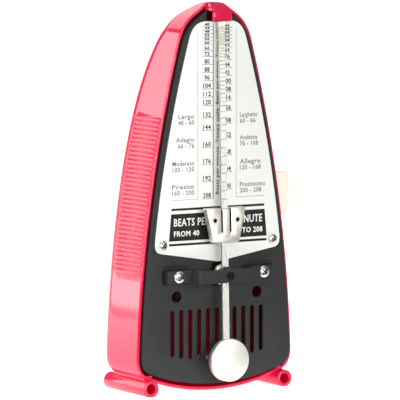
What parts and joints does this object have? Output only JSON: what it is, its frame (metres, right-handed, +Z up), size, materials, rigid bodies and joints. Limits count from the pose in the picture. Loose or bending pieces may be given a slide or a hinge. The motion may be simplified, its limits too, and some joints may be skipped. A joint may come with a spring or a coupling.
{
  "type": "pocket metronome",
  "caption": "Pocket mechanical metronome: domed red case, black front with white tempo scale, notched pendulum rod with slider and counterweight, side winding key and verge movement.",
  "frame": {"origin": "on the table, under the centre of the whole object's box", "axes": "+Z up, -Y towards the player who faces the scale, +X towards the winding key"},
  "size_m": [0.0812, 0.0442, 0.1599],
  "materials": {
    "housing_red": "glossy raspberry red moulded plastic",
    "panel_black": "matt anthracite moulded plastic with a fine grain",
    "scale_white": "white sheet with printed black tempo scale",
    "key_ivory": "ivory moulded plastic",
    "nickel_steel": "warm nickel plating, softly polished",
    "nickel_rod": "thin nickel-coloured strip, lengthwise brushing",
    "nickel_slider": "light alloy casting, satin nickel colour",
    "movement_brass": "plain turned brass",
    "movement_steel": "bright steel"
  },
  "bodies": {
    "case": {"housing": "housing_red", "front_panel": "panel_black", "scale_plate": "scale_white", "bridge": "panel_black", "key_bush": "movement_brass", "plate_screw_left": "nickel_steel", "plate_screw_right": "nickel_steel", "bridge_screw_left": "nickel_steel", "bridge_screw_right": "nickel_steel", "left_plate": "movement_brass", "right_plate": "movement_brass", "pillar_1": "movement_brass", "pillar_2": "movement_brass", "pillar_3": "movement_brass", "pillar_4": "movement_brass", "pillar_screw_1": "movement_steel", "pillar_screw_2": "movement_steel", "pillar_screw_3": "movement_steel", "pillar_screw_4": "movement_steel", "mounting_screw_lower_left": "movement_steel", "mounting_screw_lower_right": "movement_steel", "mounting_screw_upper_left": "movement_steel", "mounting_screw_upper_right": "movement_steel", "escape_cock": "movement_brass", "rear_cock": "movement_brass", "rear_bush": "movement_brass", "rear_cock_screw_left": "movement_steel", "rear_cock_screw_right": "movement_steel", "escape_cock_screw_front": "movement_steel", "escape_cock_screw_rear": "movement_steel", "click_screw": "movement_steel", "click_spring": "movement_steel"},
    "pendulum": {"pendulum_rod": "nickel_rod", "pendulum_hub": "nickel_steel", "pendulum_arbor": "movement_steel", "pallet_front": "movement_steel", "pallet_rear": "movement_steel", "counterweight": "nickel_steel", "back_weight": "movement_steel", "weight_rivet": "movement_steel"},
    "slider": {"slider_body": "nickel_slider", "slider_spring": "movement_steel", "slider_rivet_left": "movement_steel", "slider_rivet_right": "movement_steel"},
    "winder": {"winding_key": "key_ivory", "winding_arbor": "movement_steel", "ratchet_wheel": "movement_steel"},
    "click": {"click": "movement_steel"},
    "barrel": {"barrel": "movement_brass", "barrel_cover": "movement_brass", "mainspring": "movement_steel"},
    "intermediate": {"intermediate_arbor": "movement_steel", "intermediate_pinion": "movement_steel", "intermediate_wheel": "movement_brass"},
    "escape": {"escape_arbor": "movement_steel", "escape_pinion": "movement_steel", "crown_wheel": "movement_brass"}
  },
  "joints": [
    {"name": "pendulum_swing", "type": "hinge", "parent": "case", "child": "pendulum", "pos_m": [-0.00375, -0.01091, 0.0487], "axis": [0, 1, 0], "range_deg": [-25, 25]},
    {"name": "slider_slide", "type": "slide", "parent": "pendulum", "child": "slider", "axis": [0, 0.03, 0.9996], "range_m": [-0.008, 0.0738]},
    {"name": "key_wind", "type": "hinge", "parent": "case", "child": "winder", "pos_m": [0.03025, 0.00539, 0.0787], "axis": [1, 0, 0], "continuous": true},
    {"name": "barrel_spin", "type": "hinge", "parent": "case", "child": "barrel", "pos_m": [-0.01175, 0.00539, 0.0787], "axis": [1, 0, 0], "continuous": true},
    {"name": "intermediate_spin", "type": "hinge", "parent": "case", "child": "intermediate", "pos_m": [0.00025, 0.00539, 0.0637], "axis": [1, 0, 0], "continuous": true},
    {"name": "escape_spin", "type": "hinge", "parent": "case", "child": "escape", "pos_m": [0.00525, 0.00539, 0.0487], "axis": [1, 0, 0], "continuous": true},
    {"name": "click_lift", "type": "hinge", "parent": "case", "child": "click", "pos_m": [0.00845, 0.01279, 0.0855], "axis": [1, 0, 0], "range_deg": [0, 12], "stiffness_Nm_per_rad": 0.0005, "springref_deg": -11.46}
  ],
  "couplings": [
    {"joint": "intermediate_spin", "follows": "barrel_spin", "ratio": -4},
    {"joint": "escape_spin", "follows": "barrel_spin", "ratio": 16}
  ]
}
